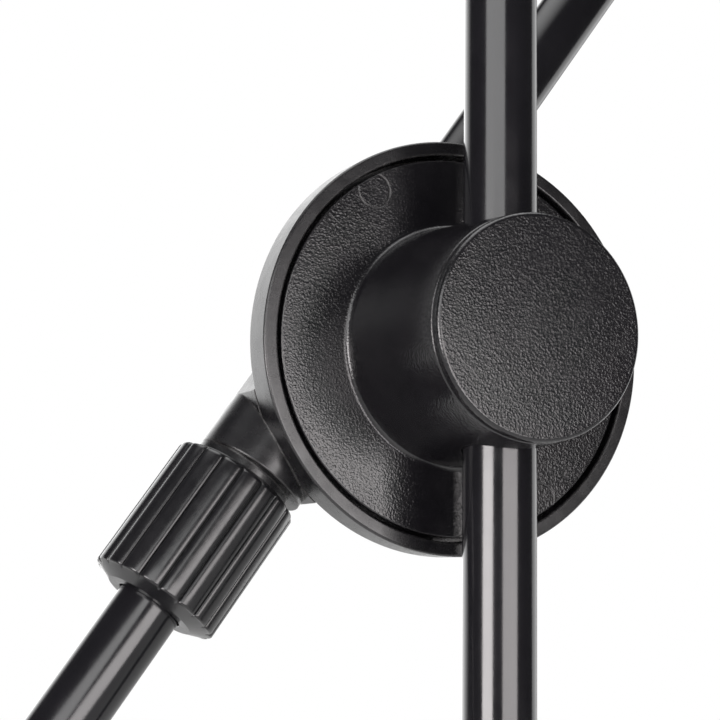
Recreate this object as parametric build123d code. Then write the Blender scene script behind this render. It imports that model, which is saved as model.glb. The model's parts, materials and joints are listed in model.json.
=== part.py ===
from build123d import *
import os
from math import atan2, cos, degrees, radians, sin

# Boom microphone stand, millimetres, +Z up.
# Origin on the floor under the upright. The boom's friction joint faces -Y, the boom rises towards +X.

# ---------------------------------------------------------------- driving dimensions
RUN = 0.05                     # radial clearance of running fits
GAP = 0.35                     # clearance between bodies that only pass each other

# friction joint between the upright and the boom
JOINT_Z = 1000.0               # height of the joint's pivot axis
RING_Y = 19.2                  # front face of the outer ring, behind the upright's axis
RING_R = 47.3                  # outer radius of the rotating rear housing
CAVITY_R = 44.1                # inside of the ring
DISC_R = 43.1                  # fixed disc inside the ring
RING_DEPTH = 9.2               # thickness of the housing's rim
CAVITY_DEPTH = 6.0             # recess that holds the disc and the friction washer
DISC_RECESS = 0.5              # disc face below the ring's front face
DISC_THICKNESS = 3.7
HUB_BASE_R = 27.2
HUB_END_R = 24.3
HUB_LENGTH = 37.0              # from the ring's front face to the end cap's face
CAP_THICKNESS = 2.8
CAP_SPIGOT_R = 20.5
CAP_SPIGOT_DEPTH = 2.7
LINER_R = 10.0                 # bore of the hub around the liner sleeve
LINER_HALF = 22.5
EYE_R = 14.0                   # clamp bolt's eye around the liner sleeve
EYE_HALF = 5.0
BOLT_R = 4.0                   # M8 clamp bolt
BOLT_END_Y = 70.0

# boom
BOOM_ANGLE = 54.4              # degrees above the horizontal
BOOM_R = 7.5
BOOM_WALL = 1.0
BOOM_OFFSET = 18.75            # boom axis from the pivot axis
BOOM_DEPTH = 20.0              # boom axis behind the ring's front face
BOOM_TAIL = -180.0             # along the boom, measured from the point nearest the pivot
BOOM_TIP = 560.0
TAIL_CAP_OVERLAP = 18.0        # rubber cap over the boom's lower end
TAIL_CAP_END = 6.0
BARREL_R = 13.1                # the barrel's outside lies off the boom axis:
BARREL_INWARDS = 1.3           # towards the pivot
BARREL_FORWARDS = 1.0          # towards the front
BARREL_TOP = 32.0
BUSH_DEPTH = 10.0              # plastic bush in the barrel's upper end
BUSH_WALL = 2.0
STUB_END = -66.0               # threaded stub below the barrel
STUB_SHOULDER = -49.1
STUB_THREAD_R = 11.6
FAIRING_SIDE = 14.6
BOSS_R = 11.0
BOSS_END = 31.8                # end of the bolt boss behind the ring's front face
COLLET_R = 10.1
COLLET_TOP = -48.0
COLLET_NOSE = 6.0              # collet's length beyond the stub
NUT_TOP = -51.3
NUT_COLLAR_R = 13.5            # plain collar above the ribs
NUT_RIB_TOP = -51.9
NUT_RIB_END = -83.9
NUT_END = -85.6
NUT_MOUTH_R = 10.7             # flat ring around the boom at the foot of the nut's cone
NUT_R = 15.2
NUT_CORE_R = 13.9              # bottom of the grooves between the ribs
NUT_RIBS = 18
NUT_GROOVE = 1.5
NUT_RIB_TURN = 3.2             # degrees from the boom frame's +X to the middle of the first rib
KNOB_R = 19.0
KNOB_LENGTH = 19.0
KNOB_LOBE_R = 6.0
KNOB_LOBES = 6
KNOB_BACK = 3.4                # knob's front, behind the boss
INSERT_R = 7.0                 # brass insert in the knob
INSERT_LENGTH = 14.0
WASHER_THICKNESS = 1.2

# upright
UPRIGHT_R = 8.0
UPRIGHT_WALL = 1.0
UPRIGHT_BOTTOM = 433.7
UPRIGHT_TOP = 1120.0
LOWER_R = 12.5
LOWER_WALL = 1.5
LOWER_BOTTOM = 66.0
LOWER_TOP = 560.0
BUSH_LENGTH = 24.0
PLUG_SPIGOT = 18.0             # plug in the foot of the upright tube
PLUG_FLANGE = 4.0
CAP_SPIGOT = 14.0              # cap in the top of the upright tube
CLUTCH_R = 15.5
CLUTCH_THREAD_R = 14.0
CLUTCH_BOTTOM = 520.0
CLUTCH_TOP = 590.0
GRIP_R = 19.5
GRIP_BOTTOM = 553.0
GRIP_TOP = 606.0
GRIP_RIBS = 20

# base and legs
HUB_CORE_R = 24.0
HUB_BOTTOM = 62.0
HUB_TOP = 120.0
HINGE_RADIUS = 34.0
HINGE_Z = 92.0
EAR_OUTER = 46.0
EAR_HALF_WIDTH = 13.6
EAR_LOW = 77.0
EAR_HIGH = 107.0
EAR_CORNER = 11.0
LOCK_PLATE_R = 30.0
LOCK_PLATE_THICKNESS = 5.0
BASE_PLUG_LENGTH = 24.0
BOLT_HEAD_R = 7.5
BOLT_HEAD_HEIGHT = 5.5
PIN_HEAD_R = 4.8
PIN_HEAD_HEIGHT = 1.6
KNUCKLE_HALF = 7.0
KNUCKLE_R = 9.0
PIN_R = 3.0
LEG_AZIMUTHS = (0.0, 120.0, 240.0)
LEG_R = 8.0
LEG_WALL = 1.2
LEG_DROP = 80.2                # fall from the hinge to the middle of the foot
LEG_REACH = 291.0              # run from the hinge to the middle of the foot
LEG_TUBE_START = 22.0
LEG_SPIGOT = 46.0
LEG_TUBE_END = 306.0
FOOT_R = 12.5
FOOT_START = 262.0
FOOT_END = 316.0

# microphone thread at the boom's tip, 3/8 inch stud under a 5/8 inch adapter
STUD_R = 4.76
ADAPTER_R = 7.94
ADAPTER_LENGTH = 13.0
STUD_LENGTH = 16.0
TIP_SPIGOT = 22.0              # steel plug in the boom's tip
SHOULDER_R = 8.8
SHOULDER_LENGTH = 6.0
LOCK_RING_R = 11.5
LOCK_RING_LENGTH = 5.0

# ---------------------------------------------------------------- frames
tilt = radians(BOOM_ANGLE)
LEG_ANGLE = degrees(atan2(LEG_DROP, LEG_REACH))

# local +Z runs backwards along the pivot axis, from the ring's front face
PIVOT = Plane(origin=(0, RING_Y, JOINT_Z), x_dir=(1, 0, 0), z_dir=(0, 1, 0))

# local +Z runs up the boom, local +X away from the pivot, local +Y to the front
BOOM = Plane(
    origin=(-BOOM_OFFSET * sin(tilt), RING_Y + BOOM_DEPTH, JOINT_Z + BOOM_OFFSET * cos(tilt)),
    x_dir=(-sin(tilt), 0, cos(tilt)),
    z_dir=(cos(tilt), 0, sin(tilt)),
)

# local +Z runs out along the leg at azimuth 0, local +X upwards
LEG = Plane(
    origin=(HINGE_RADIUS, 0, HINGE_Z),
    x_dir=(sin(radians(LEG_ANGLE)), 0, cos(radians(LEG_ANGLE))),
    z_dir=(cos(radians(LEG_ANGLE)), 0, -sin(radians(LEG_ANGLE))),
)


# ---------------------------------------------------------------- building blocks
def at(frame, shape):
    """Move a shape modelled at the origin into a frame."""
    return frame.location * shape


def rod(radius, low, high):
    """Solid cylinder on the local Z axis between two heights."""
    return Pos(0, 0, low) * Cylinder(radius, high - low, align=(Align.CENTER, Align.CENTER, Align.MIN))


def tube(inner, outer, low, high):
    """Hollow cylinder on the local Z axis."""
    return rod(outer, low, high) - rod(inner, low, high)


def turned(*outline):
    """Solid of revolution about the local Z axis through (radius, height) points."""
    return revolve(make_face(Plane.XZ * Polyline(*outline, close=True)), Axis.Z)


def block(x_span, y_span, z_span):
    """Box between pairs of limits."""
    spans = (x_span, y_span, z_span)
    centre = [(low + high) / 2 for low, high in spans]
    return Pos(*centre) * Box(*[high - low for low, high in spans])


def slotted(shape, count, width, reach, low, high):
    """Cut evenly spaced radial slots from the axis outwards."""
    for index in range(count):
        cutter = block((0, reach), (-width / 2, width / 2), (low, high))
        shape -= Rot(0, 0, index * 360 / count) * cutter
    return shape


def ribs(radius, rib_radius, count, low, high):
    """Round ribs side by side around the local Z axis."""
    rib = rod(rib_radius, low, high)
    return [Rot(0, 0, index * 360 / count) * Pos(radius, 0, 0) * rib for index in range(count)]


def chamfered_rod(radius, low, high, edge):
    """Cylinder with both ends chamfered."""
    return turned(
        (0, low), (radius - edge, low), (radius, low + edge),
        (radius, high - edge), (radius - edge, high), (0, high),
    )


# ---------------------------------------------------------------- base
def base_hub():
    """Cast hub with a clevis for each leg and a socket for the lower tube."""
    core = turned(
        (0, HUB_BOTTOM), (HUB_CORE_R - 2, HUB_BOTTOM), (HUB_CORE_R, HUB_BOTTOM + 2),
        (HUB_CORE_R, HUB_TOP - 12), (LOWER_R + 4, HUB_TOP), (0, HUB_TOP),
    )
    ear_pair = block((HUB_CORE_R - 6, EAR_OUTER), (-EAR_HALF_WIDTH, EAR_HALF_WIDTH), (EAR_LOW, EAR_HIGH))
    ear_pair = fillet(ear_pair.edges().filter_by(Axis.Y).group_by(Axis.X)[-1], EAR_CORNER)
    slot_half = KNUCKLE_HALF + GAP
    slot = block((HUB_CORE_R, EAR_OUTER + 20), (-slot_half, slot_half), (HUB_BOTTOM - 5, HUB_TOP + 5))
    pin_hole = Pos(HINGE_RADIUS, 0, HINGE_Z) * Rot(90, 0, 0) * rod(PIN_R, -40, 40)
    for azimuth in LEG_AZIMUTHS:
        core += Rot(0, 0, azimuth) * ear_pair
    for azimuth in LEG_AZIMUTHS:
        core -= Rot(0, 0, azimuth) * slot
        core -= Rot(0, 0, azimuth) * pin_hole
    return core - rod(LOWER_R, LOWER_BOTTOM, HUB_TOP + 1) - rod(BOLT_R, HUB_BOTTOM - 1, LOWER_BOTTOM + 1)


def leg_pins():
    """Headed hinge pins, one through each clevis."""
    reach = EAR_HALF_WIDTH
    pin = rod(PIN_R, -reach, reach)
    pin += rod(PIN_HEAD_R, reach, reach + PIN_HEAD_HEIGHT)
    pin += rod(PIN_HEAD_R, -reach - PIN_HEAD_HEIGHT, -reach)
    placed = [Rot(0, 0, a) * Pos(HINGE_RADIUS, 0, HINGE_Z) * Rot(90, 0, 0) * pin for a in LEG_AZIMUTHS]
    return Compound(children=placed)


def leg_knuckle():
    """Rounded tongue on the hinge pin with a spigot for the leg tube."""
    tongue = Rot(90, 0, 0) * rod(KNUCKLE_R, -KNUCKLE_HALF, KNUCKLE_HALF)
    tongue += block((-KNUCKLE_R, KNUCKLE_R), (-KNUCKLE_HALF, KNUCKLE_HALF), (0, LEG_TUBE_START - 4))
    collar = turned(
        (0, LEG_TUBE_START - 6), (6, LEG_TUBE_START - 6), (LEG_R + 0.8, LEG_TUBE_START - 3),
        (LEG_R + 0.8, LEG_TUBE_START), (0, LEG_TUBE_START),
    )
    spigot = rod(LEG_R - LEG_WALL, LEG_TUBE_START, LEG_SPIGOT)
    hole = Rot(90, 0, 0) * rod(PIN_R + RUN, -KNUCKLE_HALF - 1, KNUCKLE_HALF + 1)
    return at(LEG, tongue + collar + spigot - hole)


def leg_tube():
    """Round steel tube of one leg."""
    return at(LEG, tube(LEG_R - LEG_WALL, LEG_R, LEG_TUBE_START, LEG_TUBE_END))


def leg_foot():
    """Rubber foot pushed over the leg's end, ground flat where it meets the floor."""
    outer = turned(
        (0, FOOT_START), (LEG_R + 1.5, FOOT_START), (LEG_R + 2.2, FOOT_START + 2),
        (FOOT_R - 1, FOOT_START + 26), (FOOT_R, FOOT_START + 32), (FOOT_R, FOOT_END - 3),
        (FOOT_R - 3, FOOT_END), (0, FOOT_END),
    )
    foot = at(LEG, outer - rod(LEG_R, FOOT_START - 1, LEG_TUBE_END))
    below_floor = block((0, 500), (-60, 60), (-60, 0))
    return foot - below_floor


def lock_plate():
    """Round plate under the hub that holds the open legs."""
    plate = chamfered_rod(LOCK_PLATE_R, HUB_BOTTOM - LOCK_PLATE_THICKNESS, HUB_BOTTOM, 1.2)
    return plate - rod(BOLT_R, HUB_BOTTOM - LOCK_PLATE_THICKNESS - 1, HUB_BOTTOM + 1)


def base_bolt():
    """Hexagon bolt that draws the lock plate and the hub onto the tube's plug."""
    seat = HUB_BOTTOM - LOCK_PLATE_THICKNESS
    head = Pos(0, 0, seat - BOLT_HEAD_HEIGHT) * extrude(RegularPolygon(BOLT_HEAD_R, 6), BOLT_HEAD_HEIGHT)
    return head + rod(BOLT_R, seat, LOWER_BOTTOM + BASE_PLUG_LENGTH - 2)


def base_plug():
    """Threaded plug in the bottom of the lower tube."""
    radius = LOWER_R - LOWER_WALL
    return tube(BOLT_R, radius, LOWER_BOTTOM, LOWER_BOTTOM + BASE_PLUG_LENGTH)


# ---------------------------------------------------------------- upright
def lower_tube():
    """Lower upright tube."""
    return tube(LOWER_R - LOWER_WALL, LOWER_R, LOWER_BOTTOM, LOWER_TOP)


def clutch_body():
    """Threaded sleeve on the top of the lower tube."""
    sleeve = turned(
        (0, CLUTCH_BOTTOM), (CLUTCH_R - 1.5, CLUTCH_BOTTOM), (CLUTCH_R, CLUTCH_BOTTOM + 1.5),
        (CLUTCH_R, LOWER_TOP + 6), (CLUTCH_THREAD_R, LOWER_TOP + 6), (CLUTCH_THREAD_R, CLUTCH_TOP),
        (0, CLUTCH_TOP),
    )
    sleeve -= rod(LOWER_R, CLUTCH_BOTTOM - 1, LOWER_TOP)
    sleeve -= rod(UPRIGHT_R + GAP, LOWER_TOP - 1, CLUTCH_TOP + 1)
    return sleeve - rod(UPRIGHT_R + 4, LOWER_TOP + 6, CLUTCH_TOP + 1)


def clutch_collet():
    """Split plastic collet that grips the upright tube."""
    outer = UPRIGHT_R + 4
    ring = turned(
        (UPRIGHT_R + RUN, LOWER_TOP + 6), (outer, LOWER_TOP + 6), (outer, CLUTCH_TOP),
        (outer - 1.5, CLUTCH_TOP + 4), (UPRIGHT_R + RUN, CLUTCH_TOP + 4),
    )
    return slotted(ring, 3, 1.6, 20, LOWER_TOP + 12, CLUTCH_TOP + 5)


def clutch_grip():
    """Screw cap of the height clutch."""
    cap = chamfered_rod(GRIP_R - 1.5, GRIP_BOTTOM, GRIP_TOP, 1.2)
    cap -= rod(CLUTCH_R + GAP, GRIP_BOTTOM - 1, LOWER_TOP + 6 + GAP)
    cap -= rod(CLUTCH_THREAD_R + RUN, GRIP_BOTTOM, CLUTCH_TOP + 4 + GAP)
    return cap - rod(UPRIGHT_R + GAP, GRIP_BOTTOM, GRIP_TOP + 1)


def clutch_grip_cover():
    """Ribbed rubber band around the clutch's screw cap."""
    inner = GRIP_R - 1.5
    low = GRIP_BOTTOM + 4
    high = GRIP_TOP - 4
    band = rod(inner + 0.9, low, high)
    for rib in ribs(inner + 0.5, 1.0, GRIP_RIBS, low, high):
        band += rib
    return band - rod(inner, low - 1, high + 1)


def guide_bush():
    """Plastic bush that guides the foot of the upright tube inside the lower tube."""
    low = UPRIGHT_BOTTOM + 0.4
    return tube(UPRIGHT_R + RUN, LOWER_R - LOWER_WALL - RUN, low, low + BUSH_LENGTH)


def bush_clip():
    """Spring clip on the upright tube above the guide bush."""
    low = UPRIGHT_BOTTOM + 0.8 + BUSH_LENGTH
    ring = tube(UPRIGHT_R, UPRIGHT_R + 1.6, low, low + 1.4)
    return ring - block((0, 20), (-2, 2), (low - 1, low + 3))


def upright_plug():
    """Flanged plug under the guide bush, pressed into the upright tube."""
    spigot = rod(UPRIGHT_R - UPRIGHT_WALL, UPRIGHT_BOTTOM, UPRIGHT_BOTTOM + PLUG_SPIGOT)
    flange_radius = LOWER_R - LOWER_WALL - 0.8
    return spigot + chamfered_rod(flange_radius, UPRIGHT_BOTTOM - PLUG_FLANGE, UPRIGHT_BOTTOM, 0.8)


def upright_tube():
    """Inner upright tube that carries the boom's friction joint."""
    return tube(UPRIGHT_R - UPRIGHT_WALL, UPRIGHT_R, UPRIGHT_BOTTOM, UPRIGHT_TOP)


def upright_cap():
    """Plastic cap in the top of the upright tube."""
    spigot = rod(UPRIGHT_R - UPRIGHT_WALL, UPRIGHT_TOP - CAP_SPIGOT, UPRIGHT_TOP)
    dome = turned(
        (0, UPRIGHT_TOP), (UPRIGHT_R + 0.6, UPRIGHT_TOP), (UPRIGHT_R + 0.6, UPRIGHT_TOP + 3),
        (UPRIGHT_R - 1.2, UPRIGHT_TOP + 5.4), (UPRIGHT_R - 4, UPRIGHT_TOP + 6.4), (0, UPRIGHT_TOP + 6.8),
    )
    return spigot + dome


# ---------------------------------------------------------------- friction joint, fixed side
def liner_sleeve():
    """Split plastic sleeve between the upright tube and the hub."""
    sleeve = tube(UPRIGHT_R + RUN, LINER_R - RUN, -LINER_HALF, LINER_HALF)
    split = block((0, 20), (-0.8, 0.8), (-LINER_HALF - 1, LINER_HALF + 1))
    return Pos(0, 0, JOINT_Z) * (sleeve - split)


def hub_disc():
    """One moulding: the disc that faces the ring's inside and the conical hub on it."""
    disc_front = DISC_RECESS
    disc_back = DISC_RECESS + DISC_THICKNESS
    hub_front = CAP_THICKNESS - HUB_LENGTH
    body = turned(
        (0, hub_front), (HUB_END_R, hub_front), (HUB_BASE_R, disc_front - 1.6),
        (HUB_BASE_R + 1.6, disc_front), (DISC_R - 0.5, disc_front), (DISC_R, disc_front + 0.5),
        (DISC_R, disc_back), (0, disc_back),
    )
    body -= rod(CAP_SPIGOT_R, hub_front - 1, hub_front + CAP_SPIGOT_DEPTH)
    body -= rod(BOLT_R, -20, disc_back + 1)
    body = at(PIVOT, body)
    body -= Pos(0, 0, JOINT_Z) * rod(LINER_R, -LINER_HALF - 0.2, LINER_HALF + 0.2)
    body -= Pos(0, 0, JOINT_Z) * rod(UPRIGHT_R + GAP, -60, 60)
    eye_reach = EYE_R + 0.2
    eye_front = RING_Y + hub_front
    eye_pocket = block((-eye_reach, eye_reach), (eye_front, 0), (-EYE_HALF - 0.2, EYE_HALF + 0.2))
    eye_pocket += rod(eye_reach, -EYE_HALF - 0.2, EYE_HALF + 0.2)
    return body - Pos(0, 0, JOINT_Z) * eye_pocket


def hub_end_cap():
    """Flat cap that closes the front of the hub."""
    face = -HUB_LENGTH
    back = face + CAP_THICKNESS
    cap = turned(
        (0, face), (HUB_END_R - 1.6, face), (HUB_END_R - 0.7, face + 0.3), (HUB_END_R - 0.1, face + 1.2),
        (HUB_END_R - 0.1, back - 0.5), (HUB_END_R - 0.6, back), (0, back),
    )
    spigot = tube(CAP_SPIGOT_R - 2, CAP_SPIGOT_R, back, back + CAP_SPIGOT_DEPTH)
    return at(PIVOT, cap + spigot)


def eye_bolt():
    """M8 bolt whose eye draws the upright tube against the hub."""
    eye = Pos(0, 0, JOINT_Z) * rod(EYE_R, -EYE_HALF, EYE_HALF)
    shank = Pos(0, 0, JOINT_Z) * Rot(-90, 0, 0) * rod(BOLT_R, EYE_R - 2, BOLT_END_Y)
    return eye + shank - Pos(0, 0, JOINT_Z) * rod(LINER_R, -60, 60)


def friction_washer():
    """Fibre washer between the disc and the rotating housing."""
    low = DISC_RECESS + DISC_THICKNESS
    return at(PIVOT, tube(BOLT_R + 4, DISC_R - 5, low, CAVITY_DEPTH - 0.1))


# ---------------------------------------------------------------- friction joint, rotating side
def rear_housing():
    """Rotating housing: ring, back plate, bolt boss, and the barrel that carries the boom."""
    plate = turned(
        (0, 0), (RING_R - 0.5, 0), (RING_R, 0.5), (RING_R, RING_DEPTH - 0.8),
        (RING_R - 0.8, RING_DEPTH), (0, RING_DEPTH),
    )
    boss = turned(
        (0, RING_DEPTH), (BOSS_R + 3, RING_DEPTH), (BOSS_R, RING_DEPTH + 4), (BOSS_R, BOSS_END - 1),
        (BOSS_R - 1, BOSS_END), (0, BOSS_END),
    )
    stub = turned(
        (0, STUB_END), (STUB_THREAD_R - 1, STUB_END), (STUB_THREAD_R, STUB_END + 1),
        (STUB_THREAD_R, STUB_SHOULDER), (0, STUB_SHOULDER),
    )
    barrel = chamfered_rod(BARREL_R, STUB_SHOULDER, BARREL_TOP, 0.6)
    barrel = Pos(-BARREL_INWARDS, BARREL_FORWARDS, 0) * barrel
    front = BOOM_DEPTH - RING_DEPTH
    fairing = block((-FAIRING_SIDE, BARREL_R - BARREL_INWARDS), (0, front), (STUB_END, BARREL_TOP - 4))
    fairing = at(BOOM, fairing) & at(PIVOT, rod(RING_R, 0, 60))
    shell = at(PIVOT, plate + boss) + at(BOOM, stub + barrel) + fairing
    cavity = rod(CAVITY_R, -1, CAVITY_DEPTH) + rod(BOLT_R + GAP, -1, 60)
    passage = rod(BOOM_R + GAP, STUB_END - 1, BARREL_TOP + 1)
    passage += rod(COLLET_R, STUB_END - 1, COLLET_TOP)
    passage += rod(BOOM_R + BUSH_WALL, BARREL_TOP - BUSH_DEPTH, BARREL_TOP + 1)
    return shell - at(PIVOT, cavity) - at(BOOM, passage)


def barrel_bush():
    """Plastic bush in the upper end of the barrel."""
    return at(BOOM, tube(BOOM_R + RUN, BOOM_R + BUSH_WALL, BARREL_TOP - BUSH_DEPTH, BARREL_TOP))


def boom_collet():
    """Split collet in the stub that grips the boom tube."""
    nose = STUB_END - COLLET_NOSE
    top = COLLET_TOP - 0.2
    ring = turned(
        (BOOM_R + RUN, nose), (COLLET_R - 1.6, nose), (COLLET_R - RUN, STUB_END),
        (COLLET_R - RUN, top), (BOOM_R + RUN, top),
    )
    return at(BOOM, slotted(ring, 3, 1.4, 20, nose - 1, top - 5))


def ribbed_nut():
    """Hand nut that closes the collet on the boom tube, with broad ribs between narrow grooves."""
    nut = turned(
        (0, NUT_TOP), (NUT_COLLAR_R, NUT_TOP), (NUT_COLLAR_R, NUT_RIB_TOP), (NUT_R - 0.6, NUT_RIB_TOP),
        (NUT_R, NUT_RIB_TOP - 0.6), (NUT_R, NUT_RIB_END + 0.5), (NUT_R - 0.7, NUT_RIB_END),
        (NUT_MOUTH_R, NUT_END), (0, NUT_END),
    )
    groove = block((NUT_CORE_R, NUT_R + 1), (-NUT_GROOVE / 2, NUT_GROOVE / 2), (NUT_END, NUT_RIB_TOP + 0.2))
    for index in range(NUT_RIBS):
        nut -= Rot(0, 0, NUT_RIB_TURN + (index + 0.5) * 360 / NUT_RIBS) * groove
    nut -= rod(STUB_THREAD_R + RUN, STUB_END - 0.5, NUT_TOP + 1)
    nut -= rod(COLLET_R + GAP, STUB_END - COLLET_NOSE - GAP, STUB_END)
    return at(BOOM, nut - rod(BOOM_R + GAP, NUT_END - 1, 0))


def thrust_washer():
    """Flat steel washer on the boss."""
    return at(PIVOT, tube(BOLT_R + GAP, BOSS_R - 1.5, BOSS_END, BOSS_END + WASHER_THICKNESS))


def spring_washer():
    """Coned spring washer between the flat washer and the knob."""
    low = BOSS_END + WASHER_THICKNESS
    return at(PIVOT, turned(
        (BOLT_R + GAP, low + 0.9), (BOLT_R + GAP, low + 1.8), (BOSS_R - 2.5, low + 0.9), (BOSS_R - 2.5, low),
    ))


def knob_insert():
    """Threaded brass insert moulded into the rear knob."""
    low = BOSS_END + KNOB_BACK
    return at(PIVOT, tube(BOLT_R + RUN, INSERT_R, low, low + INSERT_LENGTH))


def rear_knob():
    """Lobed clamping knob behind the joint."""
    low = BOSS_END + KNOB_BACK
    high = low + KNOB_LENGTH
    knob = chamfered_rod(KNOB_R - 4, low, high, 1.5)
    lobe = chamfered_rod(KNOB_LOBE_R, low, high - 2, 1.2)
    for index in range(KNOB_LOBES):
        knob += Rot(0, 0, index * 360 / KNOB_LOBES) * Pos(KNOB_R - KNOB_LOBE_R, 0, 0) * lobe
    knob -= rod(INSERT_R, low - 1, low + INSERT_LENGTH)
    return at(PIVOT, knob - rod(BOLT_R + GAP, low, low + KNOB_LENGTH - 2))


# ---------------------------------------------------------------- boom
def boom_tube():
    """Steel boom tube."""
    return at(BOOM, tube(BOOM_R - BOOM_WALL, BOOM_R, BOOM_TAIL, BOOM_TIP))


def boom_tail_cap():
    """Rubber cap over the boom's lower end."""
    end = BOOM_TAIL - TAIL_CAP_END
    rim = BOOM_TAIL + TAIL_CAP_OVERLAP
    cap = turned(
        (0, end), (BOOM_R - 1.5, end), (BOOM_R + 1.4, end + 3), (BOOM_R + 1.4, rim - 1),
        (BOOM_R + 0.8, rim), (0, rim),
    )
    return at(BOOM, cap - rod(BOOM_R, BOOM_TAIL, rim + 1))


def mic_plug():
    """Steel plug in the boom's tip with a shoulder and the 3/8 inch stud."""
    spigot = rod(BOOM_R - BOOM_WALL, BOOM_TIP - TIP_SPIGOT, BOOM_TIP)
    shoulder = chamfered_rod(SHOULDER_R, BOOM_TIP, BOOM_TIP + SHOULDER_LENGTH, 0.8)
    stud = rod(STUD_R, BOOM_TIP, BOOM_TIP + SHOULDER_LENGTH + STUD_LENGTH)
    return at(BOOM, spigot + shoulder + stud)


def lock_ring():
    """Knurled counter ring on the stud."""
    low = BOOM_TIP + SHOULDER_LENGTH
    ring = chamfered_rod(LOCK_RING_R, low, low + LOCK_RING_LENGTH, 0.8)
    return at(BOOM, ring - rod(STUD_R, low - 1, low + LOCK_RING_LENGTH + 1))


def thread_adapter():
    """Adapter sleeve from the stud to the 5/8 inch microphone thread."""
    low = BOOM_TIP + SHOULDER_LENGTH + LOCK_RING_LENGTH
    sleeve = turned(
        (STUD_R, low), (ADAPTER_R, low), (ADAPTER_R, low + ADAPTER_LENGTH),
        (ADAPTER_R - 0.8, low + ADAPTER_LENGTH + 0.8), (STUD_R, low + ADAPTER_LENGTH + 0.8),
    )
    return at(BOOM, sleeve)


# ---------------------------------------------------------------- all sub-parts
def leg_parts():
    """Three separate nodes for each leg."""
    pieces = {}
    for number, azimuth in enumerate(LEG_AZIMUTHS, start=1):
        for name, maker in (("knuckle", leg_knuckle), ("tube", leg_tube), ("foot", leg_foot)):
            pieces[f"leg_{number}_{name}"] = Rot(0, 0, azimuth) * maker()
    return pieces


MAKERS = (
    base_hub, leg_pins, lock_plate, base_bolt, base_plug, lower_tube, clutch_body, clutch_collet,
    clutch_grip, clutch_grip_cover, guide_bush, bush_clip, upright_plug, upright_tube, upright_cap,
    liner_sleeve, hub_disc, hub_end_cap, eye_bolt, friction_washer, rear_housing, barrel_bush,
    boom_collet, ribbed_nut, thrust_washer, spring_washer, knob_insert, rear_knob, boom_tube,
    boom_tail_cap, mic_plug, lock_ring, thread_adapter,
)

os.makedirs("parts", exist_ok=True)
nodes = {maker.__name__: maker() for maker in MAKERS} | leg_parts()
for name, shape in nodes.items():
    export_step(shape, f"parts/{name}.step")
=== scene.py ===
import json
import math

import bmesh
import bpy
import numpy as np
from mathutils import Matrix, Quaternion, Vector


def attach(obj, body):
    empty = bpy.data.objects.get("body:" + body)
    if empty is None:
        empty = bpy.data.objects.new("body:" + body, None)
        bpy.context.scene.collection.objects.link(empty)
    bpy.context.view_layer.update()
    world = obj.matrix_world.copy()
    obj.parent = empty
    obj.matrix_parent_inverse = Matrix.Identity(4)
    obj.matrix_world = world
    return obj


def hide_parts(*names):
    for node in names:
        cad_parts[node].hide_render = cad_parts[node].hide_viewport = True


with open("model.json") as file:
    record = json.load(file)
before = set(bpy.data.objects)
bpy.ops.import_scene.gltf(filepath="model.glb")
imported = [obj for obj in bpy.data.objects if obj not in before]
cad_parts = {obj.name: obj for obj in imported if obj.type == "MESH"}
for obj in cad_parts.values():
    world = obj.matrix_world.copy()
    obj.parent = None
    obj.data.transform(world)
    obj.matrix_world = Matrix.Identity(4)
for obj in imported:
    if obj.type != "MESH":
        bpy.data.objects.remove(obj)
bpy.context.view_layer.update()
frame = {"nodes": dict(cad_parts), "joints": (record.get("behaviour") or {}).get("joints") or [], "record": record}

MM = 0.001
NODES = frame["nodes"]
JOINTS = {joint["name"]: joint for joint in frame["joints"]}
BODIES = frame["record"]["behaviour"]["bodies"]
BODY_OF = {node: body for body, members in BODIES.items() for node in members}
SLOT_OF = {entry["node"]: entry["material_slot"] for entry in frame["record"]["subparts"]}
LEG_REACH = 291.0              # run of a leg, hinge to foot, mm
LEG_DROP = 80.2                # its fall over that run


# ---------------------------------------------------------------- frames
def basis(origin, z_dir, x_dir):
    """Matrix of a local frame, in metres, with local +Z along z_dir."""
    z = Vector(z_dir).normalized()
    x = Vector(x_dir)
    x = (x - z * x.dot(z)).normalized()
    matrix = Matrix((x, z.cross(x), z)).transposed().to_4x4()
    matrix.translation = Vector(origin)
    return matrix


def boom_basis():
    """Frame on the boom's axis at its point nearest the pivot: +Z up the boom, +X away from the pivot."""
    along = Vector(JOINTS["boom_slide"]["axis"]).normalized()
    pivot = Vector(JOINTS["boom_tilt"]["pos_m"])
    point = Vector(JOINTS["boom_roll"]["pos_m"])
    origin = point + along * (pivot - point).dot(along)
    outwards = origin - pivot
    outwards.y = 0
    return basis(origin, along, outwards)


def leg_basis(number):
    """Frame at a leg's hinge: +Z out along the leg, +X upwards."""
    hinge = Vector(JOINTS[f"leg_{number}_fold"]["pos_m"])
    outwards = Vector((hinge.x, hinge.y, 0)).normalized()
    return basis(hinge, outwards * LEG_REACH - Vector((0, 0, LEG_DROP)), (0, 0, 1))


UPRIGHT = Matrix.Identity(4)
PIVOT = basis(JOINTS["boom_tilt"]["pos_m"], (0, 1, 0), (1, 0, 0))
BOOM = boom_basis()
LEGS = {number: leg_basis(number) for number in (1, 2, 3)}


def extent(node, place):
    """(lowest, highest, widest radius) of a CAD node along and around a frame's Z axis, in mm."""
    count = len(NODES[node].data.vertices)
    points = np.zeros(count * 3)
    NODES[node].data.vertices.foreach_get("co", points)
    inverse = np.array(place.inverted())
    local = points.reshape(-1, 3) @ inverse[:3, :3].T + inverse[:3, 3]
    local /= MM
    return local[:, 2].min(), local[:, 2].max(), np.hypot(local[:, 0], local[:, 1]).max()


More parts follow.
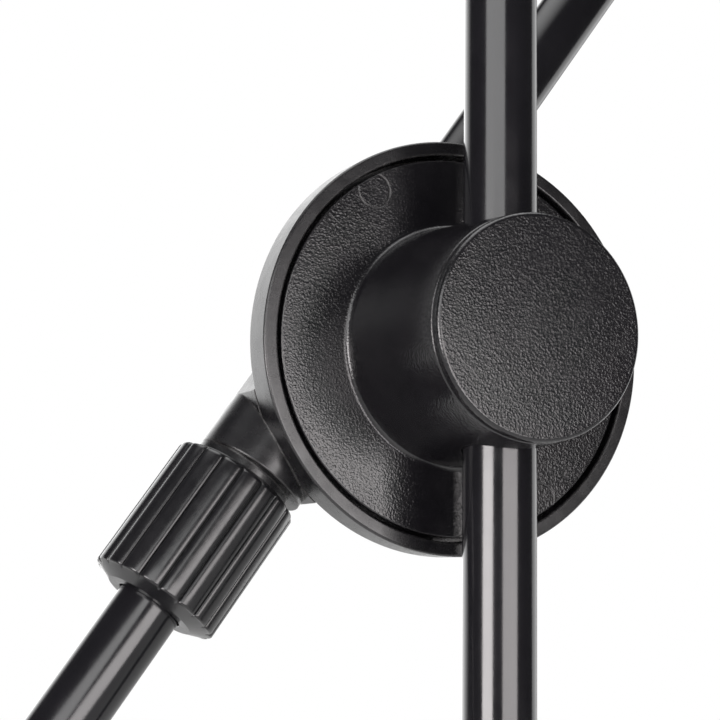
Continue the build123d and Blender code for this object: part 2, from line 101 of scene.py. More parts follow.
# ---------------------------------------------------------------- mesh building
ARC_STEPS = 6                  # segments in a rounded corner
TURN_STEPS = 128               # segments in a full turn
NEARLY_STRAIGHT = math.pi - 0.02
ON_AXIS = 1e-6                 # a radius below this lies on the lathe's axis, mm


def rounded(outline):
    """(radius, height) points of an outline of (radius, height, corner radius) corners."""
    corners = [(Vector((p[0], p[1])), p[2] if len(p) > 2 else 0.0) for p in outline]
    points = []
    for index, (corner, radius) in enumerate(corners):
        before = (corners[index - 1][0] - corner).normalized()
        after = (corners[(index + 1) % len(corners)][0] - corner).normalized()
        turn = before.angle(after)
        if radius <= 0 or turn > NEARLY_STRAIGHT:
            points.append(tuple(corner))
            continue
        reach = radius / math.tan(turn / 2)
        centre = corner + (before + after).normalized() * radius / math.sin(turn / 2)
        start = corner + before * reach - centre
        finish = corner + after * reach - centre
        sweep = math.pi - turn
        if start.x * finish.y < start.y * finish.x:
            sweep = -sweep
        for step in range(ARC_STEPS + 1):
            angle = sweep * step / ARC_STEPS
            cosine, sine = math.cos(angle), math.sin(angle)
            points.append((
                centre.x + start.x * cosine - start.y * sine,
                centre.y + start.x * sine + start.y * cosine,
            ))
    return points


def solid(name, verts, faces, place):
    """Object from vertices in mm in a local frame; normals point outwards."""
    mesh = bpy.data.meshes.new(name)
    mesh.from_pydata([tuple(c * MM for c in v) for v in verts], [], faces)
    mesh.transform(place)
    work = bmesh.new()
    work.from_mesh(mesh)
    bmesh.ops.remove_doubles(work, verts=work.verts, dist=1e-7)
    bmesh.ops.recalc_face_normals(work, faces=work.faces)
    work.to_mesh(mesh)
    work.free()
    piece = bpy.data.objects.new(name, mesh)
    bpy.context.scene.collection.objects.link(piece)
    return piece


def skin(name, rings, place):
    """Closed surface through rings of points; a ring on the axis closes to a pole."""
    steps = len(rings[0])
    verts = [point for ring in rings for point in ring]
    on_axis = [math.hypot(ring[0][0], ring[0][1]) < ON_AXIS for ring in rings]
    faces = []
    for a in range(len(rings)):
        b = (a + 1) % len(rings)
        if on_axis[a] and on_axis[b]:
            continue
        for k in range(steps):
            nxt = (k + 1) % steps
            faces.append((a * steps + k, a * steps + nxt, b * steps + nxt, b * steps + k))
    return solid(name, verts, faces, place)


def lathe(name, outline, place, steps=TURN_STEPS):
    """Turn a closed outline of (radius, height, corner radius) about local Z."""
    turns = [2 * math.pi * k / steps for k in range(steps)]
    rings = [[(r * math.cos(a), r * math.sin(a), z) for a in turns] for r, z in rounded(outline)]
    return skin(name, rings, place)


def shaped(name, outline, place, radius_at, steps):
    """Like lathe, with radius_at(radius, height, angle) giving each point's radius."""
    turns = [2 * math.pi * k / steps for k in range(steps)]
    rings = []
    for r, z in rounded(outline):
        radii = [radius_at(r, z, a) for a in turns]
        rings.append([(s * math.cos(a), s * math.sin(a), z) for s, a in zip(radii, turns)])
    return skin(name, rings, place)


def prism(name, outline, low, high, place):
    """Extrude a closed (x, y) outline between two heights."""
    steps = len(outline)
    verts = [(x, y, z) for z in (low, high) for x, y in outline]
    faces = [tuple(range(steps))[::-1], tuple(range(steps, 2 * steps))]
    for k in range(steps):
        nxt = (k + 1) % steps
        faces.append((k, nxt, steps + nxt, steps + k))
    return solid(name, verts, faces, place)


def rectangle(left, right, near, far):
    """Corners of a rectangle for a prism."""
    return [(left, near), (right, near), (right, far), (left, far)]


def apply_modifiers(piece):
    """Replace a piece's mesh by what its modifiers make of it."""
    graph = bpy.context.evaluated_depsgraph_get()
    mesh = bpy.data.meshes.new_from_object(piece.evaluated_get(graph))
    piece.modifiers.clear()
    piece.data = mesh


def combine(piece, tool, operation):
    """Boolean of two closed pieces; the tool is used up."""
    modifier = piece.modifiers.new("combine", "BOOLEAN")
    modifier.operation = operation
    modifier.object = tool
    modifier.solver = "EXACT"
    apply_modifiers(piece)
    bpy.data.objects.remove(tool)
    return piece


def finished(piece, node, sharp=32):
    """Shade a piece, give it its finish and let it stand for a CAD node."""
    mesh = piece.data
    mesh.shade_smooth()
    mesh.set_sharp_from_angle(angle=math.radians(sharp))
    weighted = piece.modifiers.new("weighted", "WEIGHTED_NORMAL")
    weighted.keep_sharp = True
    weighted.weight = 80
    apply_modifiers(piece)
    piece.name = f"{node}_shape"
    piece.data.materials.clear()
    piece.data.materials.append(MATERIALS[SLOT_OF[node]])
    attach(piece, BODY_OF[node])
    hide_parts(node)
    return piece


# ---------------------------------------------------------------- materials
BEVEL_SAMPLES = 4
WEAR_REACH = 2.2               # width of the worn band, as a multiple of the edge radius
WEAR_MOST = 0.35               # share of the wear colour on a sharp edge
SCUFF_SIZE = 1.6               # break-up of the worn band, mm
BLOTCH_SHARE = 0.45            # size of the roughness patches against the colour patches
LEATHER_HEIGHT = 0.022         # mm
TURNING_HEIGHT = 0.006


def shading(tree, kind, inputs=None, **settings):
    """Shader node with its settings, and its inputs set to values or linked to sockets."""
    made = tree.nodes.new(kind)
    for key, value in settings.items():
        setattr(made, key, value)
    for key, value in (inputs or {}).items():
        if isinstance(value, bpy.types.NodeSocket):
            tree.links.new(value, made.inputs[key])
        else:
            made.inputs[key].default_value = value
    return made


def scaled_noise(tree, coords, size, detail=2.0, rough=0.5, distortion=0.0):
    """Noise whose features are about size millimetres across."""
    made = shading(tree, "ShaderNodeTexNoise", {
        "Vector": coords, "Scale": 1.0 / size, "Detail": detail, "Roughness": rough,
        "Distortion": distortion,
    })
    return made.outputs["Fac"]


def raised(tree, field, height, normal):
    """Normal bent by a height field of 0 to 1 that stands for a height in mm."""
    return shading(tree, "ShaderNodeBump", {
        "Height": field, "Distance": height * MM, "Strength": 1.0, "Normal": normal,
    }).outputs[0]


def multiplied(tree, first, second):
    """Product of two values."""
    return shading(tree, "ShaderNodeMath", {0: first, 1: second}, operation="MULTIPLY").outputs[0]


def added(tree, first, second):
    """Sum of two values."""
    return shading(tree, "ShaderNodeMath", {0: first, 1: second}, operation="ADD").outputs[0]


def ranged(tree, value, low, high, out_low, out_high):
    """Linear map of a value, clamped."""
    return shading(tree, "ShaderNodeMapRange", {
        "Value": value, "From Min": low, "From Max": high, "To Min": out_low, "To Max": out_high,
    }).outputs[0]


def blend_colours(tree, factor, first, second):
    """Mix of two colours by a factor socket."""
    made = shading(tree, "ShaderNodeMix", data_type="RGBA")
    tree.links.new(factor, made.inputs["Factor"])
    for socket, value in ((made.inputs[6], first), (made.inputs[7], second)):
        if isinstance(value, bpy.types.NodeSocket):
            tree.links.new(value, socket)
        else:
            socket.default_value = (*value, 1.0)
    return made.outputs[2]


def surface(name, colours, roughness, grain, wear, metallic=0.0, edge=0.35, mottle=9.0, relief=None):
    """Material with mottled colour and roughness, fine relief and lightly worn edges.

    colours are the two that the mottling runs between, roughness its lowest and highest value.
    grain is a list of (feature size, height, detail) in mm; relief(tree, coords) may add one more height.
    wear is the colour that shows on rubbed edges. edge is the radius that an edge seems to have, and
    mottle the size of the patches, in mm.
    """
    material = bpy.data.materials.new(name)
    material.use_nodes = True
    tree = material.node_tree
    shader = tree.nodes["Principled BSDF"]
    shader.inputs["Metallic"].default_value = metallic
    coords = shading(tree, "ShaderNodeTexCoord").outputs["Object"]
    coords = shading(tree, "ShaderNodeVectorMath", {
        0: coords, 1: (1 / MM,) * 3,
    }, operation="MULTIPLY").outputs[0]

    patches = scaled_noise(tree, coords, mottle, detail=4.0, rough=0.6)
    colour = blend_colours(tree, ranged(tree, patches, 0.35, 0.65, 0, 1), *colours)
    geometry = shading(tree, "ShaderNodeNewGeometry")
    softened = shading(tree, "ShaderNodeBevel", {"Radius": edge * WEAR_REACH * MM}, samples=BEVEL_SAMPLES)
    facing = shading(tree, "ShaderNodeVectorMath", {
        0: softened.outputs[0], 1: geometry.outputs["Normal"],
    }, operation="DOT_PRODUCT").outputs["Value"]
    scuffs = scaled_noise(tree, coords, SCUFF_SIZE, detail=5.0, rough=0.7)
    mask = multiplied(
        tree, ranged(tree, facing, 0.985, 0.86, 0, WEAR_MOST), ranged(tree, scuffs, 0.38, 0.62, 0.15, 1),
    )
    tree.links.new(blend_colours(tree, mask, colour, wear), shader.inputs["Base Color"])

    blotches = scaled_noise(tree, coords, mottle * BLOTCH_SHARE, detail=5.0, rough=0.65)
    tree.links.new(ranged(tree, blotches, 0.3, 0.7, *roughness), shader.inputs["Roughness"])

    normal = shading(tree, "ShaderNodeBevel", {"Radius": edge * MM}, samples=BEVEL_SAMPLES).outputs[0]
    for size, height, detail in grain:
        normal = raised(tree, scaled_noise(tree, coords, size, detail=detail), height, normal)
    if relief:
        field, height = relief(tree, coords)
        normal = raised(tree, field, height, normal)
    tree.links.new(normal, shader.inputs["Normal"])
    return material


def leather_grain(tree, coords):
    """Height field of moulded leather grain: small rounded pebbles with fine wrinkles over them."""
    warp = shading(tree, "ShaderNodeTexNoise", {"Vector": coords, "Scale": 1.3, "Detail": 2.0})
    shifted = shading(tree, "ShaderNodeVectorMath", {
        0: warp.outputs["Color"], 1: (0.5, 0.5, 0.5),
    }, operation="SUBTRACT").outputs[0]
    shifted = shading(tree, "ShaderNodeVectorMath", {0: shifted, 1: coords}, operation="ADD").outputs[0]
    cells = shading(tree, "ShaderNodeTexVoronoi", {
        "Vector": shifted, "Scale": 1.8, "Smoothness": 0.35,
    }, feature="SMOOTH_F1").outputs["Distance"]
    pebbles = ranged(tree, cells, 0.1, 0.62, 1, 0)
    wrinkles = scaled_noise(tree, coords, 0.42, distortion=0.2)
    return added(tree, pebbles, wrinkles), LEATHER_HEIGHT


def turning_marks(tree, coords):
    """Fine irregular marks of machining, for small metal parts."""
    field = shading(tree, "ShaderNodeTexNoise", {
        "Vector": coords, "Scale": 6.0, "Detail": 3.0, "Roughness": 0.7,
    })
    return field.outputs["Fac"], TURNING_HEIGHT


MATERIALS = {
    "hub_plastic": surface(
        "grained_plastic", [(0.0036, 0.0034, 0.0042), (0.0060, 0.0056, 0.0066)], (0.15, 0.20),
        [(0.9, 0.006, 2.0)], wear=(0.16, 0.155, 0.155), edge=0.25, relief=leather_grain,
    ),
    "housing_plastic": surface(
        "satin_plastic", [(0.0036, 0.0034, 0.0042), (0.0056, 0.0052, 0.0060)], (0.22, 0.30),
        [(0.22, 0.006, 3.0), (2.6, 0.012, 2.0)], wear=(0.13, 0.125, 0.12),
    ),
    "nut_plastic": surface(
        "nut_plastic", [(0.0036, 0.0035, 0.0043), (0.0056, 0.0054, 0.0063)], (0.19, 0.27),
        [(0.25, 0.006, 3.0), (1.8, 0.012, 2.0)], wear=(0.13, 0.13, 0.13), edge=0.18,
    ),
    "tube_paint": surface(
        "tube_paint", [(0.0038, 0.0036, 0.0046), (0.0060, 0.0057, 0.0070)], (0.13, 0.19),
        [(1.1, 0.0022, 2.0), (0.16, 0.0008, 2.0)], wear=(0.20, 0.20, 0.21), edge=0.15, mottle=24.0,
    ),
    "base_casting": surface(
        "cast_paint", [(0.014, 0.014, 0.015), (0.022, 0.021, 0.022)], (0.38, 0.52),
        [(0.8, 0.022, 3.0), (3.4, 0.06, 2.0)], wear=(0.22, 0.22, 0.22), edge=0.6,
    ),
    "black_rubber": surface(
        "black_rubber", [(0.016, 0.016, 0.016), (0.026, 0.025, 0.024)], (0.62, 0.82),
        [(0.3, 0.012, 4.0), (1.6, 0.02, 2.0)], wear=(0.09, 0.088, 0.085), edge=0.4,
    ),
    "zinc_steel": surface(
        "zinc_steel", [(0.42, 0.42, 0.43), (0.56, 0.56, 0.55)], (0.26, 0.44),
        [(0.5, 0.006, 3.0)], wear=(0.75, 0.75, 0.74), metallic=1.0, edge=0.12, mottle=3.0,
        relief=turning_marks,
    ),
    "nickel_thread": surface(
        "nickel", [(0.50, 0.49, 0.46), (0.62, 0.61, 0.58)], (0.16, 0.30),
        [(0.6, 0.004, 3.0)], wear=(0.8, 0.79, 0.76), metallic=1.0, edge=0.08, mottle=2.5,
        relief=turning_marks,
    ),
    "brass_insert": surface(
        "brass", [(0.55, 0.39, 0.15), (0.68, 0.51, 0.23)], (0.22, 0.38),
        [(0.6, 0.004, 3.0)], wear=(0.85, 0.70, 0.40), metallic=1.0, edge=0.1, mottle=2.5,
        relief=turning_marks,
    ),
    "bearing_nylon": surface(
        "nylon", [(0.06, 0.06, 0.062), (0.085, 0.084, 0.084)], (0.42, 0.55),
        [(0.4, 0.008, 3.0)], wear=(0.2, 0.2, 0.2), edge=0.2,
    ),
    "fibre_washer": surface(
        "fibre", [(0.10, 0.055, 0.03), (0.19, 0.11, 0.06)], (0.75, 0.92),
        [(0.35, 0.03, 5.0)], wear=(0.28, 0.18, 0.1), edge=0.2, mottle=1.2,
    ),
}


# ---------------------------------------------------------------- friction joint
RING_R = 47.3
CAVITY_R = 44.1
CAVITY_FLOOR = 6.0             # depths are measured from the ring's front plane, backwards
RING_DEPTH = 9.2
DISC_R = 43.1
DISC_FRONT = 0.5
DISC_BACK = 4.2
HUB_BASE_R = 27.2
HUB_END_R = 24.3
HUB_FRONT = -34.2
CAP_FRONT = -37.0
CAP_RING_R = (18.5, 20.5)      # the cap's spigot, a ring inside the hub
CAP_RING_LENGTH = 2.7
BOLT_R = 4.0
BOSS_R = 11.0
BOSS_BACK = 31.8
UPRIGHT_R = 8.0
BOOM_R = 7.5
LINER_R = 10.0
LINER_HALF = 22.7
BARREL_R = 13.1
BARREL_SHIFT = (-1.3, 0.88, 0) # the barrel's outside lies off the boom axis, inwards and forwards
BARREL_LOW = -49.1             # heights are measured along the boom from its point nearest the pivot
BARREL_HIGH = 32.0
STUB_R = 11.6
STUB_LOW = -66.0
BUSH_R = 9.5
BUSH_LOW = 22.0
COLLET_R = 10.1
COLLET_TOP = -48.0
MARK_DISTANCE = 40.1           # ejector marks: distance from the pivot, radius and depth
MARK_R = 3.9
MARK_DEPTH = 0.14
MARK_TURNS = (122, -58)
GAP = 0.35                     # clearance of a visible piece round another
PAST = 2.0                     # how far a cutting tool runs past the piece


def tube_piece(node, place, wall):
    """Hollow tube with softened ends."""
    outer, inner = 0.3, 0.15
    low, high, radius = extent(node, place)
    outline = [
        (radius - wall, low, inner), (radius, low, outer),
        (radius, high, outer), (radius - wall, high, inner),
    ]
    return finished(lathe(node, outline, place), node)


def ejector_mark(turn):
    """Tool for the shallow ring groove that an ejector pin leaves in the disc's face."""
    angle = math.radians(turn)
    centre = PIVOT @ Matrix.Translation(
        Vector((MARK_DISTANCE * math.cos(angle), -MARK_DISTANCE * math.sin(angle), DISC_FRONT)) * MM
    )
    inner, outer = MARK_R - 0.22, MARK_R + 0.22
    outline = [(inner, -0.6), (outer, -0.6), (outer, 0.02), (MARK_R, MARK_DEPTH), (inner, 0.02)]
    return lathe("mark", outline, centre, 48)


def build_hub():
    """Fixed disc with its conical hub, and the cap on the hub's end."""
    hub = lathe("hub", [
        (0, HUB_FRONT), (HUB_END_R, HUB_FRONT, 0.45), (HUB_BASE_R, DISC_FRONT, 1.3),
        (DISC_R, DISC_FRONT, 0.45), (DISC_R, DISC_BACK, 0.4), (0, DISC_BACK),
    ], PIVOT, 192)
    clamp = basis(JOINTS["boom_pan"]["pos_m"], (0, 0, 1), (1, 0, 0))
    bore, past = UPRIGHT_R + GAP, 60
    hub = combine(hub, lathe("bore", [
        (0, -past), (bore, -past), (bore, -LINER_HALF), (LINER_R, -LINER_HALF), (LINER_R, LINER_HALF),
        (bore, LINER_HALF), (bore, past), (0, past),
    ], clamp, 96), "DIFFERENCE")
    for turn in MARK_TURNS:
        hub = combine(hub, ejector_mark(turn), "DIFFERENCE")
    finished(hub, "hub_disc")
    inner, outer = CAP_RING_R
    cap_r, ring_end = HUB_END_R - 0.1, HUB_FRONT + CAP_RING_LENGTH
    cap = lathe("cap", [
        (0, CAP_FRONT), (cap_r, CAP_FRONT, 0.9), (cap_r, HUB_FRONT, 0.5), (outer, HUB_FRONT),
        (outer, ring_end, 0.3), (inner, ring_end, 0.3), (inner, HUB_FRONT), (0, HUB_FRONT),
    ], PIVOT, 192)
    finished(cap, "hub_end_cap")


def build_housing():
    """Rotating housing: ring, plate and bolt boss, with the barrel that carries the boom."""
    bolt_hole = BOLT_R + GAP
    shell = lathe("shell", [
        (bolt_hole, BOSS_BACK, 0.3), (BOSS_R, BOSS_BACK, 1.0), (BOSS_R, RING_DEPTH, 3.0),
        (RING_R, RING_DEPTH, 1.0), (RING_R, 0, 0.6), (CAVITY_R, 0, 0.4), (CAVITY_R, CAVITY_FLOOR, 0.3),
        (bolt_hole, CAVITY_FLOOR, 0.3),
    ], PIVOT, 192)
    block = prism("block", rectangle(-14.6, 11.8, 0, 10.9), STUB_LOW, 28, BOOM)
    inside, front, back = RING_R - 0.02, 5.0, 60
    fairing = combine(block, lathe("limit", [
        (0, front), (inside, front), (inside, back), (0, back),
    ], PIVOT, 192), "INTERSECT")
    stub = lathe("stub", [
        (0, STUB_LOW), (STUB_R, STUB_LOW, 1.0), (STUB_R, COLLET_TOP), (0, COLLET_TOP),
    ], BOOM, 96)
    aside = BOOM @ Matrix.Translation(Vector(BARREL_SHIFT) * MM)
    barrel = lathe("barrel", [
        (0, BARREL_LOW), (BARREL_R, BARREL_LOW, 0.35), (BARREL_R, BARREL_HIGH, 1.0), (0, BARREL_HIGH),
    ], aside, 128)
    for part in (fairing, barrel, stub):
        shell = combine(shell, part, "UNION")
    start, end, bore = STUB_LOW - PAST, BARREL_HIGH + PAST, BOOM_R + GAP
    passage = lathe("passage", [
        (0, start), (COLLET_R, start), (COLLET_R, COLLET_TOP), (bore, COLLET_TOP), (bore, BUSH_LOW),
        (BUSH_R, BUSH_LOW), (BUSH_R, end), (0, end),
    ], BOOM, 96)
    front, back = CAVITY_FLOOR - 0.1, BOSS_BACK + 1.2
    bolt_way = lathe("bolt_way", [(0, front), (bolt_hole, front), (bolt_hole, back), (0, back)], PIVOT, 48)
    shell = combine(combine(shell, passage, "DIFFERENCE"), bolt_way, "DIFFERENCE")
    finished(shell, "rear_housing")


# ---------------------------------------------------------------- screwed and ribbed pieces
def superellipse(share, power):
    """Height of a rounded rib at a share of its half width, 1 on the crest and 0 in the groove."""
    return max(0.0, 1.0 - abs(share) ** power) ** (1.0 / power)


def rib_share(angle, count):
    """Position across the nearest of count ribs, -1 and 1 in the grooves and 0 on the crest."""
    pitch = 2 * math.pi / count
    return 2 * ((angle / pitch + 0.5) % 1.0) - 1.0


def climb(distance, reach):
    """Quarter-round rise from 0 to 1 over a reach."""
    share = min(max(distance / reach, 0.0), 1.0)
    return math.sqrt(1.0 - (1.0 - share) ** 2)


def build_nut():
    """Hand nut with broad ribs between narrow grooves, a plain collar above and a short cone below."""
    crest, core, count, turn = 15.2, 13.9, 18, math.radians(3.2)
    top, ribs_top, ribs_end, bottom = -51.3, -51.9, -83.9, -85.6
    thread_r, thread_end, seat_r, seat_end = 11.65, -66.5, 10.45, -72.35
    collar_r, mouth_r, bore = 13.5, 10.7, BOOM_R + GAP
    fullness = 2.7

    def radius_at(radius, height, angle):
        if radius <= core:
            return radius
        return core + (radius - core) * superellipse(rib_share(angle - turn, count), fullness)

    outline = [
        (thread_r, thread_end), (thread_r, top), (collar_r, top, 0.25), (collar_r, ribs_top),
        (14.2, ribs_top), (crest, ribs_top, 0.9),
        *((crest, height) for height in np.linspace(ribs_top - 4, ribs_end + 4, 7)),
        (crest, ribs_end, 0.55), (14.5, ribs_end - 0.1, 0.2), (14.0, ribs_end - 0.3),
        (13.6, ribs_end - 0.45), (mouth_r, bottom, 0.3), (bore, bottom, 0.2), (bore, seat_end),
        (seat_r, seat_end), (seat_r, thread_end),
    ]
    finished(shaped("nut", outline, BOOM, radius_at, count * 44), "ribbed_nut", 40)


def build_knob():
    """Clamping knob with six lobes."""
    low, high, crest, valley, count = 35.2, 54.2, 19.0, 15.3, 6
    socket_r, plain_r, bolt_hole = 7.0, 8.0, BOLT_R + GAP
    socket_end, hole_end = low + 14, low + 17

    def radius_at(radius, height, angle):
        wave = (0.5 + 0.5 * math.cos(count * angle)) ** 0.8
        share = min(max((radius - plain_r) / (crest - plain_r), 0.0), 1.1)
        return radius - share * (crest - valley) * (1.0 - wave)

    outline = [
        (0, hole_end), (bolt_hole, hole_end), (bolt_hole, socket_end), (socket_r, socket_end),
        (socket_r, low), (crest, low, 1.4), (crest, high - 2, 3.2), (13.5, high, 1.5), (12, high, 0.6),
        (11.4, high - 0.7, 0.6), (0, high - 0.7),
    ]
    finished(shaped("knob", outline, PIVOT, radius_at, count * 32), "rear_knob", 40)


def build_clutch():
    """Sleeve on the lower tube, its screw cap and the ribbed rubber band around the cap."""
    bore, tube_r, sleeve_r, thread_r, collet_r = UPRIGHT_R + GAP, 12.5, 15.5, 14.0, 12.0
    sleeve_low, tube_top, shoulder, sleeve_top = 520, 560, 566, 590
    finished(lathe("sleeve", [
        (tube_r, sleeve_low, 0.3), (sleeve_r, sleeve_low, 1.6), (sleeve_r, shoulder, 0.5),
        (thread_r, shoulder), (thread_r, sleeve_top, 0.4), (collet_r, sleeve_top), (collet_r, shoulder),
        (bore, shoulder), (bore, tube_top), (tube_r, tube_top),
    ], UPRIGHT), "clutch_body")
    cap_low, cap_top, cap_r, skirt_r, nut_r = 553, 606, 18.0, sleeve_r + GAP, thread_r + 0.05
    seat, skirt_top, lip = 594.35, shoulder + GAP, cap_top - 1.2
    finished(lathe("cap", [
        (skirt_r, cap_low, 0.3), (cap_r, cap_low, 1.2), (cap_r, cap_top, 2.6), (11.5, cap_top, 0.8),
        (10.6, lip, 0.5), (bore, lip, 0.3), (bore, seat), (nut_r, seat), (nut_r, skirt_top),
        (skirt_r, skirt_top),
    ], UPRIGHT), "clutch_grip")
    low, high, crest, valley, count = 557.0, 602.0, 19.5, 18.75, 20
    plain, rise_length, step_length, steps = 1.2, 1.6, 0.2, 10

    def radius_at(radius, height, angle):
        if radius < valley - 0.05:
            return radius
        end_rise = climb(min(height - low, high - height) - plain, rise_length)
        return valley + (crest - valley) * end_rise * superellipse(rib_share(angle, count) * 1.25, 2.0)

    outline = [(cap_r, low), (valley, low, 0.3)]
    outline += [(valley, low + 1.0 + step_length * step) for step in range(1, steps + 1)]
    outline += [(valley, height) for height in np.linspace(low + 6, high - 6, 6)]
    outline += [(valley, high - 1.0 - step_length * step) for step in range(steps, 0, -1)]
    outline += [(valley, high, 0.3), (cap_r, high)]
    finished(shaped("band", outline, UPRIGHT, radius_at, count * 16), "clutch_grip_cover", 40)


def build_caps():
    """Rubber cap on the boom's lower end and plastic cap on the upright."""
    low, high, radius = extent("boom_tail_cap", BOOM)
    waist, floor_at = radius - 0.5, low + 6
    finished(lathe("tail", [
        (0, low), (radius - 1.2, low, 2.2), (radius, floor_at, 3.0), (radius, high - 5, 0.4),
        (waist, high - 4.6, 0.2), (waist, high - 3.4, 0.2), (radius, high - 3.0, 0.4),
        (radius - 0.1, high, 0.5), (BOOM_R, high, 0.1), (BOOM_R, floor_at), (0, floor_at),
    ], BOOM), "boom_tail_cap")
    low, high, radius = extent("upright_cap", UPRIGHT)
    spigot_r, tube_end = 7.0, low + 14
    finished(lathe("dome", [
        (0, low), (spigot_r, low, 0.4), (spigot_r, tube_end), (radius, tube_end, 0.3),
        (radius, tube_end + 3.4, 0.6), (radius - 3.0, high - 0.8, 3.0), (0, high),
    ], UPRIGHT), "upright_cap")


def build_thread():
    """Adapter with its outside thread, and the knurled counter ring under it."""
    stud_r = 4.76
    low, high, radius = extent("thread_adapter", BOOM)
    pitch, depth, chamfer, lead_length, steps = 0.94, 0.5, 0.55, 0.6, 9

    def thread(radius_here, height, angle):
        if radius_here < radius - 1.0:
            return radius_here
        share = ((height - low) / pitch - angle / (2 * math.pi)) % 1.0
        groove = depth * superellipse(2 * share - 1, 1.6)
        lead = min(1.0, (height - low) / lead_length, max(0.0, high - height) / lead_length)
        return radius - chamfer * (1 - lead) - groove * lead

    outline = [(stud_r, low), (radius - chamfer, low)]
    outline += [(radius, height) for height in np.arange(low + 0.1, high - 0.05, pitch / steps)]
    outline += [(radius - chamfer, high), (5.3, high, 0.2), (stud_r, high - 0.6)]
    finished(shaped("thread", outline, BOOM, thread, 72), "thread_adapter", 50)
    low, high, radius = extent("lock_ring", BOOM)
    ridges, ridge_depth = 60, 0.35

    def knurl(radius_here, height, angle):
        if radius_here < radius - 0.9:
            return radius_here
        return radius_here - ridge_depth * abs(math.sin(ridges / 2 * angle))

    finished(shaped("knurled", [
        (stud_r, low), (radius, low, 0.7), (radius, high, 0.7), (stud_r, high),
    ], BOOM, knurl, ridges * 4), "lock_ring", 24)


# ---------------------------------------------------------------- base and legs
def build_feet():
    """Rubber feet with three moulded rings, worn flat where they stand."""
    start, end, tube_r, tube_end, rings = 262.0, 316.0, 8.0, 306.0, 3
    neck_r, toe_r, collar, ring_pitch, flare = 10.3, 12.5, 3, 5, 1.3 / 23
    for number, place in LEGS.items():
        outline = [(tube_r, start, 0.2), (9.6, start, 0.6), (neck_r, start + collar, 0.8)]
        for ring in range(rings):
            height = start + 8 + ring_pitch * ring
            radius = neck_r + (height - start - collar) * flare
            outline += [
                (radius, height, 0.3), (radius - 0.7, height + 0.8, 0.3), (radius - 0.6, height + 1.8, 0.3),
                (radius + 0.15, height + 2.6, 0.3),
            ]
        outline += [
            (11.6, start + 26, 4.0), (toe_r, start + 33, 6.0), (toe_r, end - 1.5, 2.6), (9.4, end, 1.6),
            (0, end), (0, tube_end), (tube_r, tube_end),
        ]
        ground = prism("ground", rectangle(-500, 500, -500, 500), -80, 0, UPRIGHT)
        finished(combine(lathe("foot", outline, place, 96), ground, "DIFFERENCE"), f"leg_{number}_foot")


for node, place, wall in (
    ("upright_tube", UPRIGHT, 1.0), ("lower_tube", UPRIGHT, 1.5), ("boom_tube", BOOM, 1.0),
    *((f"leg_{number}_tube", place, 1.2) for number, place in LEGS.items()),
):
    tube_piece(node, place, wall)
build_hub()
build_housing()
build_nut()
build_knob()
build_clutch()
build_caps()
build_thread()
build_feet()
for node, piece in NODES.items():
    piece.data.materials.clear()
    piece.data.materials.append(MATERIALS[SLOT_OF[node]])


# ---------------------------------------------------------------- camera, light and floor
CAMERA_OFFSET = (-0.1882, -0.3579, -0.0544)    # from the pivot, m
CAMERA_YAW = 0.429                             # to the right of +Y, radians
CAMERA_PITCH = 0.126                           # upwards
CAMERA_ROLL = 0.012
WARM = (1.0, 0.96, 0.96)
JOINT_HEIGHT = 1.0                             # height that the lights are aimed at, m
FLOOR_HALF = 7500                              # mm


def make_camera():
    """Camera close to the joint, to its front and left, looking slightly up."""
    camera = bpy.data.objects.new("camera", bpy.data.cameras.new("camera"))
    bpy.context.scene.collection.objects.link(camera)
    camera.data.lens = 90
    camera.data.sensor_width = 36
    camera.data.clip_start = 0.02
    camera.location = Vector(JOINTS["boom_tilt"]["pos_m"]) + Vector(CAMERA_OFFSET)
    level = math.cos(CAMERA_PITCH)
    aim = Vector((math.sin(CAMERA_YAW) * level, math.cos(CAMERA_YAW) * level, math.sin(CAMERA_PITCH)))
    camera.rotation_mode = "QUATERNION"
    camera.rotation_quaternion = aim.to_track_quat("-Z", "Y") @ Quaternion((0, 0, 1), CAMERA_ROLL)
    bpy.context.scene.camera = camera


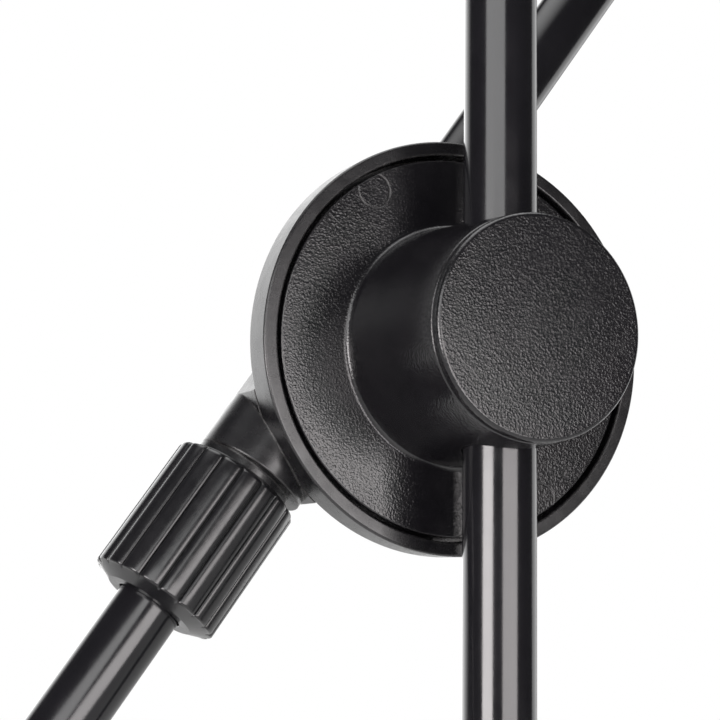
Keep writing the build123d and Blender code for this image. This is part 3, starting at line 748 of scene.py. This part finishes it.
def softbox(name, azimuth, low, high, spread, distance, radiance, colour=(1, 1, 1)):
    """Upright rectangular light facing the stand, between two elevations seen from the joint, in degrees.

    Azimuth 0 is in front of the stand, negative to its left; spread is the light's half width in degrees.
    Distance is in metres, and radiance is the brightness of the light's face.
    """
    bottom, top = (distance * math.tan(math.radians(angle)) for angle in (low, high))
    light = bpy.data.lights.new(name, "AREA")
    light.shape = "RECTANGLE"
    light.size = 2 * distance * math.tan(math.radians(spread))
    light.size_y = top - bottom
    light.energy = radiance * math.pi * light.size * light.size_y
    light.color = colour
    lamp = bpy.data.objects.new(name, light)
    bpy.context.scene.collection.objects.link(lamp)
    turn = math.radians(azimuth)
    side = Vector((math.sin(turn), -math.cos(turn), 0))
    lamp.location = side * distance + Vector((0, 0, JOINT_HEIGHT + (bottom + top) / 2))
    lamp.rotation_mode = "QUATERNION"
    lamp.rotation_quaternion = (-side).to_track_quat("-Z", "Y")
    lamp.visible_camera = False


def make_world():
    """Studio light: white to the camera, bright behind the stand and overhead, dim elsewhere."""
    world = bpy.data.worlds.new("studio")
    bpy.context.scene.world = world
    world.use_nodes = True
    tree = world.node_tree
    tree.nodes.clear()
    generated = shading(tree, "ShaderNodeTexCoord").outputs["Generated"]
    direction = shading(tree, "ShaderNodeSeparateXYZ", {0: generated})
    behind = ranged(tree, direction.outputs["Y"], 0.72, 0.96, 0.07, 2.8)
    overhead = ranged(tree, direction.outputs["Z"], 0.78, 0.95, 0, 3.4)
    path = shading(tree, "ShaderNodeLightPath")
    level = shading(tree, "ShaderNodeMix", {
        0: path.outputs["Is Camera Ray"], 2: added(tree, behind, overhead), 3: 1.0,
    }).outputs[0]
    backdrop = shading(tree, "ShaderNodeBackground", {"Color": (1, 1, 1, 1), "Strength": level})
    shading(tree, "ShaderNodeOutputWorld", {"Surface": backdrop.outputs[0]})


make_camera()
bpy.context.scene.view_settings.view_transform = "Standard"
softbox("left_panel", -65, -13, 7, 16, 1.3, 15, WARM)
softbox("front_panel", 4, -13, 8, 23, 1.3, 7.8, WARM)
softbox("upper_panel", -45, 9, 30, 30, 1.4, 4.5)
softbox("right_panel", 110, -20, 30, 20, 1.5, 1.5)
make_world()

floor = prism("floor", rectangle(-FLOOR_HALF, FLOOR_HALF, -FLOOR_HALF, FLOOR_HALF), -20, 0, UPRIGHT)
floor.data.materials.append(surface(
    "pale_floor", [(0.70, 0.70, 0.695), (0.74, 0.738, 0.735)], (0.55, 0.7),
    [(3.0, 0.02, 3.0)], wear=(0.8, 0.8, 0.8), edge=1.0, mottle=180.0,
))
